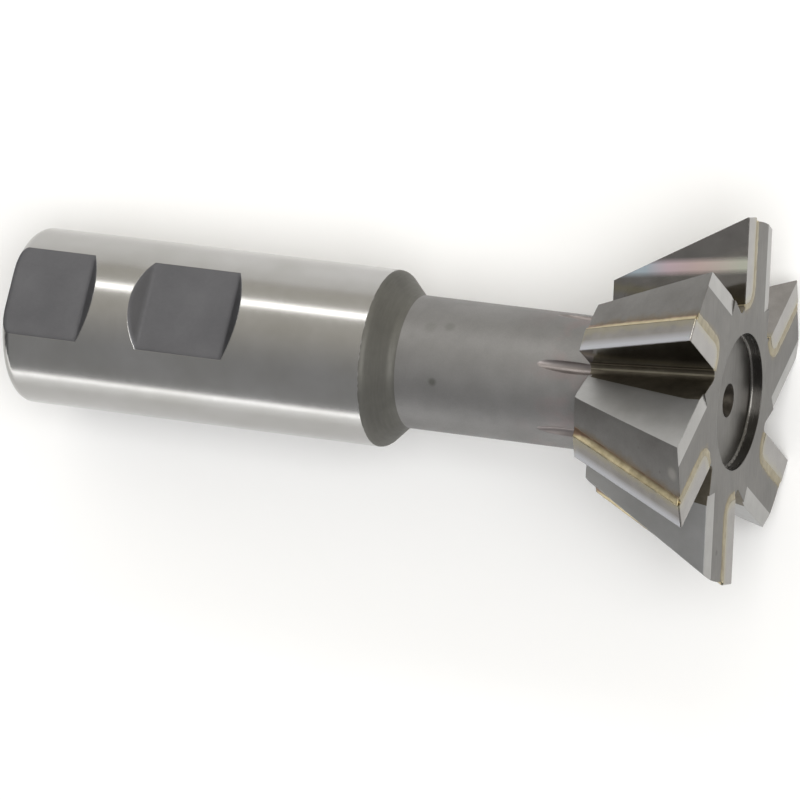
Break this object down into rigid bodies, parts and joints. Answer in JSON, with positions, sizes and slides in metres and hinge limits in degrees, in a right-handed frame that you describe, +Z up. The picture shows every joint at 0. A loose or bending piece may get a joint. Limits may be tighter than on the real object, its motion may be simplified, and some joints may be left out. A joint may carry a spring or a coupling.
{
  "type": "dovetail milling cutter",
  "caption": "Dovetail milling cutter: flared straight-gullet head with brazed carbide tips, on a necked round shank with set-screw flats.",
  "frame": {"origin": "centre of the bounding box's underside, on the surface that the cutter lies on", "axes": "+X towards the cutting end and +Z up; the cutter's own axis lies in the XZ plane and rises towards the head by about six degrees"},
  "size_m": [0.0976, 0.0456, 0.0429],
  "materials": {
    "steel": "ground shank, blasted head",
    "carbide": "fine ground tungsten carbide",
    "braze": "dull brazing alloy"
  },
  "bodies": {
    "root": {"cutter_body": "steel", "carbide_tip_1": "carbide", "carbide_tip_2": "carbide", "carbide_tip_3": "carbide", "carbide_tip_4": "carbide", "carbide_tip_5": "carbide", "carbide_tip_6": "carbide", "braze_1": "braze", "braze_2": "braze", "braze_3": "braze", "braze_4": "braze", "braze_5": "braze", "braze_6": "braze"}
  },
  "joints": []
}
